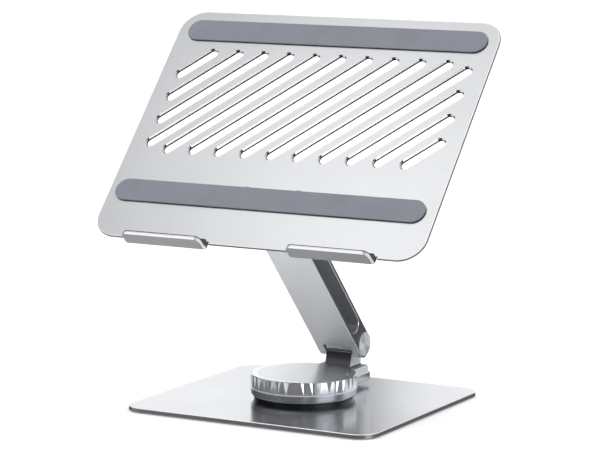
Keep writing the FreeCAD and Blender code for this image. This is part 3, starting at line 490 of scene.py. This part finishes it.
def hook_liner(node, material):
    """A silicone strip folded into a hook: along its floor and up the inside of its lip."""
    low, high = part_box(node)
    half = (high.x - low.x) / 2
    centre = (high.x + low.x) / 2
    thick, floor_end, lip_top = 1.1 * MM, 4.0 * MM, 12.8 * MM
    wall, bend = -2.7 * MM, 1.5 * MM
    flat = floor_end - wall - bend
    curve = bend * math.pi / 2
    total = flat + curve + lip_top - bend
    floor_corner, lip_corner = 3.0 * MM, 4.6 * MM

    def folded(along, away):
        """The place (v, w) at a distance along the strip and a height above the sheet."""
        if along < flat:
            return floor_end - along, away
        if along < flat + curve:
            turn = (along - flat) / bend
            radius = bend - away
            return wall + bend - radius * math.sin(turn), bend - radius * math.cos(turn)
        return wall + away, along - flat - curve + bend

    def half_width(along):
        width = half
        for corner, distance in ((floor_corner, along), (lip_corner, total - along)):
            if distance < corner:
                gap = corner - distance
                width = min(width, half - corner + math.sqrt(corner ** 2 - gap ** 2))
        return width

    def section(along, share):
        width = half_width(along)
        top = thick * share
        round_off = 0.25 * MM
        across = ((-width, 0.0), (-width, top - round_off), (-width + round_off, top),
                  (width - round_off, top), (width, top - round_off), (width, 0.0))
        return [(centre + u, *folded(along, max(t, 0.0))) for u, t in across]

    def build(shape):
        steps = 120
        ends = ((0.02 * MM, 0.7), (0.25 * MM, 1.0))
        rows = list(ends)
        rows += [(0.3 * MM + (total - 0.6 * MM) * k / steps, 1.0) for k in range(steps + 1)]
        rows += [(total - along, share) for along, share in reversed(ends)]
        skin(shape, [section(along, share) for along, share in rows])

    mesh = mesh_of(node, build, tray_place())
    return new_piece(node + "_silicone", mesh, material, "tray", node, 40)


def foot(node, body_material):
    """A moulded rubber foot: a rounded rim, a shallow step and a ring groove in its sole."""
    low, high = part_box(node)
    radius = (high.x - low.x) / 2
    thick = high.z - low.z
    profile = ((radius - 0.25 * MM, thick), (radius, thick * 0.75), (radius, thick * 0.35),
               (radius - 0.12 * MM, thick * 0.12), (radius - 0.4 * MM, 0.0),
               (radius * 0.8, 0.0), (radius * 0.78, thick * 0.3), (radius * 0.72, thick * 0.3),
               (radius * 0.7, 0.0), (radius * 0.3, 0.0))
    steps = 72

    def build(shape):
        skin(shape, [[(r * math.cos(2 * math.pi * k / steps), r * math.sin(2 * math.pi * k / steps), z)
                      for k in range(steps)] for r, z in profile])

    middle = (low + high) / 2
    mesh = mesh_of(node, build, Matrix.Translation((middle.x, middle.y, low.z)))
    return new_piece(node + "_rubber", mesh, body_material, "base", node, 25)


# ---------------------------------------------------------------- the object

def dress(material, *names):
    for name in names:
        piece = NODES[name]
        piece.data.materials.clear()
        piece.data.materials.append(material)


def finish_metals():
    # A painted highlight for chamfers: near white and mostly not metallic, so they stay bright under any
    # light.
    painted_highlight = (grey(0.95, 0.01), 0.3, 0.3)
    # The base plate: painted shade on its upright sides, a painted highlight on its chamfer.
    dress(blasted_metal("base_steel", grey(0.88, 0.01), 0.2, edge_tint=0.64, zones=(
        (plate_side, grey(0.24, 0.04), 0.3, 0.6), (plate_edge, *painted_highlight))), "base_plate")
    # Hub and retaining plate kept near black, so the gap under the carrier reads as shade: painted shade.
    dress(turned_metal("hub_steel", grey(0.06, 0.08), 0.35), "pivot_hub", "retaining_plate")
    dress(turned_metal("fastener_steel", grey(0.45, 0.02), 0.3), "hub_screws", "retainer_screws",
          "ring_screws", "post_screws", "bracket_screws", "lower_hinge_pin", "upper_hinge_pin",
          "lower_hinge_nut", "upper_hinge_nut", "lower_disc_springs", "upper_disc_springs",
          "lower_hinge_washer_left", "lower_hinge_washer_right",
          "upper_hinge_washer_left", "upper_hinge_washer_right")
    # Glide washers kept near black, so the gap under the carrier reads as shade: painted shade.
    dress(moulded_plastic("glide_plastic", grey(0.02)), "lower_glide_washer", "upper_glide_washer")
    # The carrier: a painted highlight on its top chamfer.
    dress(turned_metal("carrier_aluminium", grey(0.6, 0.14), 0.2, depth=0.000002, edge_tint=0.5,
                       metallic=0.8, zones=((upper_chamfer, *painted_highlight),)), "swivel_carrier")
    # The post: a dark front (painted shade), sides painted lighter, painted highlights on the foot
    # plate's edges and the barrel.
    dress(blasted_metal("post_aluminium", grey(0.13, 0.08), 0.36, zones=(
        (post_side, grey(0.8, 0.06), 0.36, 0.1), (post_edge, *painted_highlight),
        (post_barrel, grey(0.85, 0.04), 0.24, 0.9))), "hinge_post")
    # The ring: its upward faces darker, painted shade on its top.
    dress(turned_metal("ring_aluminium", grey(0.82, 0.06), 0.14, depth=0.000008, metallic=0.7,
                       zones=((looks_up, grey(0.6, 0.01), 0.22, 1.0),)), "ridged_ring")
    dress(blasted_metal("cover_aluminium", grey(0.9, 0.01), 0.24, edge_tint=0.75), "top_cover")
    dress(turned_metal("bush_brass", (0.72, 0.52, 0.25, 1.0), 0.3), "lower_hinge_bush",
          "upper_hinge_bush")
    # The arm: painted shade on its sides and in its slot and notches.
    dress(blasted_metal("arm_aluminium", grey(0.97, 0.05), 0.34, 0.4, zones=(
        (arm_side, grey(0.3, 0.08), 0.3, 0.85), (arm_slot, grey(0.44, 0.1), 0.3, 0.6),
        (arm_edge, grey(0.97), 0.25, 0.8))), "arm")
    # The tray: painted shade on its sides, the chamfer's lower part, the lips' faces and the vents'
    # walls; painted highlights on the chamfer's upper part, the lips' edges and the vents' chamfers.
    dress(blasted_metal("tray_aluminium", grey(0.80, 0.02), 0.38, zones=(
        (tray_rim, grey(0.2, 0.05), 0.35, 0.8), (rim_shade, grey(0.12, 0.05), 0.35, 0.0),
        (rim_edge, grey(0.95, 0.01), 0.3, 0.0),
        (hook_face, grey(0.46, 0.04), 0.36, 0.7), (hook_edge, *painted_highlight),
        (vent_wall, grey(0.01), 0.5, 1.0), (vent_edge, grey(0.97), 0.16, 1.0))), "tray_plate")
    dress(blasted_metal("bracket_aluminium", grey(0.70, 0.02), 0.36), "tray_bracket")
    dress(turned_metal("turned_cap", grey(0.96, 0.005), 0.45, pitch=0.0002, depth=0.000005,
                       centre=sum(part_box("lower_hinge_cap_right"), Vector()) / 2, axis="X",
                       streak=0.92, metallic=0.8), "lower_hinge_cap_left", "lower_hinge_cap_right")
    dress(turned_metal("upper_turned_cap", grey(0.96, 0.005), 0.45, pitch=0.0002, depth=0.000005,
                       centre=sum(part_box("upper_hinge_cap_right"), Vector()) / 2, axis="X",
                       streak=0.92, metallic=0.8), "upper_hinge_cap_left", "upper_hinge_cap_right")


def soft_pieces():
    pad = moulded_rubber("pad_silicone", (0.208, 0.218, 0.25, 1.0), shade=pad_side)
    rubber = moulded_rubber("foot_rubber", grey(0.03), 0.75)
    for node in ("upper_pad", "lower_pad"):
        silicone_pad(node, pad)
    for node in ("foot_front_left", "foot_front_right", "foot_rear_left", "foot_rear_right",
                 "foot_centre"):
        foot(node, rubber)
    liner = moulded_rubber("liner_silicone", grey(0.045, 0.35), 0.55)
    for node in ("hook_liner_left", "hook_liner_right"):
        hook_liner(node, liner)


# ---------------------------------------------------------------- studio

def floor():
    shader = Shader("floor")
    speckle = shader.noise(0.004, 3.0)
    tone = shader.mix(shader.ramp(speckle, 0.3, 0.7), grey(0.9), grey(0.885))
    shader.set(Base_Color=tone, Roughness=0.9)
    shader.surface.inputs["Specular IOR Level"].default_value = 0.0

    def build(shape):
        bmesh.ops.create_grid(shape, x_segments=8, y_segments=8, size=20)

    plane = bpy.data.objects.new("floor", mesh_of("floor", build))
    plane.data.materials.append(shader.material)
    bpy.context.scene.collection.objects.link(plane)
    plane.visible_glossy = False


def sky():
    """Light by direction: a bright low band behind, soft light above and below, dark in front,
    and three bright patches, two at the sides and one towards the viewpoint."""
    world = bpy.data.worlds.new("studio")
    bpy.context.scene.world = world
    world.use_nodes = True
    tree = world.node_tree

    def add(kind, *inputs, **settings):
        made = tree.nodes.new(kind)
        for name, value in settings.items():
            setattr(made, name, value)
        for socket, value in zip(made.inputs, inputs):
            if isinstance(value, bpy.types.NodeSocket):
                tree.links.new(value, socket)
            elif value is not None:
                socket.default_value = value
        return made.outputs

    def smooth(value, low, high, to_low, to_high):
        return add("ShaderNodeMapRange", value, low, high, to_low, to_high,
                   interpolation_type="SMOOTHSTEP")[0]

    def times(first, second):
        return add("ShaderNodeMath", first, second, operation="MULTIPLY")[0]

    def blend(share, first, second):
        return add("ShaderNodeMix", share, None, first, second)[0]

    way = add("ShaderNodeTexCoord")["Generated"]
    parts = add("ShaderNodeSeparateXYZ", way)
    height = parts["Z"]

    def toward(direction, wide, narrow, strength):
        along = add("ShaderNodeVectorMath", way, direction, operation="DOT_PRODUCT")["Value"]
        return smooth(along, wide, narrow, 0.0, strength)

    rear = smooth(parts["Y"], 0.4, 0.72, 0.0, 1.0)
    aside = add("ShaderNodeVectorMath", way, FLAG_ACROSS, operation="DOT_PRODUCT")["Value"]
    flag = times(smooth(aside, 0.002, 0.01, 0.0, 0.85), smooth(aside, 0.024, 0.036, 1.0, 0.0))
    screen = times(SKY_REAR, add("ShaderNodeMath", 1.0, flag, operation="SUBTRACT")[0])
    level = blend(rear, SKY_FRONT, screen)
    level = blend(smooth(height, 0.22, 0.34, 0.0, 1.0), level, SKY_MIDDLE)
    upper = blend(smooth(height, 0.42, 0.66, 0.0, 1.0), level, SKY_ABOVE)
    lower = smooth(height, -0.7, -0.3, SKY_BELOW, SKY_FRONT)
    low_side = times(toward(SIDE_STRIP, 0.8, 0.97, SKY_SIDE), smooth(height, -0.06, 0.06, 1.0, 0.02))
    strip = times(toward(STRIP, 0.88, 0.985, SKY_STRIP), smooth(height, 0.14, 0.24, 1.0, 0.0))
    strips = add("ShaderNodeMath", low_side, strip, operation="ADD")[0]
    strips = times(strips, smooth(height, -0.5, -0.25, 0.0, 1.0))
    strips = add("ShaderNodeMath", strips, toward(CARD, 0.990, 0.997, SKY_CARD), operation="ADD")[0]
    light = blend(smooth(height, -0.05, 0.05, 0.0, 1.0), lower, upper)
    light = add("ShaderNodeMath", light, strips, operation="ADD")[0]
    tree.links.new(light, tree.nodes["Background"].inputs[1])
    tree.nodes["Background"].inputs[0].default_value = (0.97, 0.98, 1.0, 1.0)


def softbox(name, at, to, size, power):
    data = bpy.data.lights.new(name, "AREA")
    data.shape = "RECTANGLE"
    data.size, data.size_y = size
    data.energy = power
    light = bpy.data.objects.new(name, data)
    light.location = at
    light.rotation_euler = (Vector(to) - Vector(at)).to_track_quat("-Z", "Y").to_euler()
    bpy.context.scene.collection.objects.link(light)
    return light


def camera():
    data = bpy.data.cameras.new("camera")
    data.sensor_width = 36.0
    data.lens = VIEW_LENS
    data.clip_start, data.clip_end = 0.05, 100.0
    view = bpy.data.objects.new("camera", data)
    turn = Matrix((VIEW_RIGHT, VIEW_UP, VIEW_BACK)).transposed().to_4x4()
    view.matrix_world = Matrix.Translation(VIEW_PLACE) @ turn
    bpy.context.scene.collection.objects.link(view)
    bpy.context.scene.camera = view


def studio():
    floor()
    sky()
    softbox("key", (-0.3, -0.33, 1.0), (0.1, -0.06, 0.18), (0.45, 0.45), 0.7)
    fill = softbox("fill", (0.0, 2.0, 3.4), (0, 2.0, 0), (12.0, 12.0), 520)
    fill.visible_glossy = False
    softbox("front", (-0.6, -1.0, 0.66), (0, 0, 0.1), (0.5, 0.3), 0.6)
    camera()
    settings = bpy.context.scene.view_settings
    settings.view_transform = "Standard"
    settings.look = "None"


finish_metals()
soft_pieces()
studio()
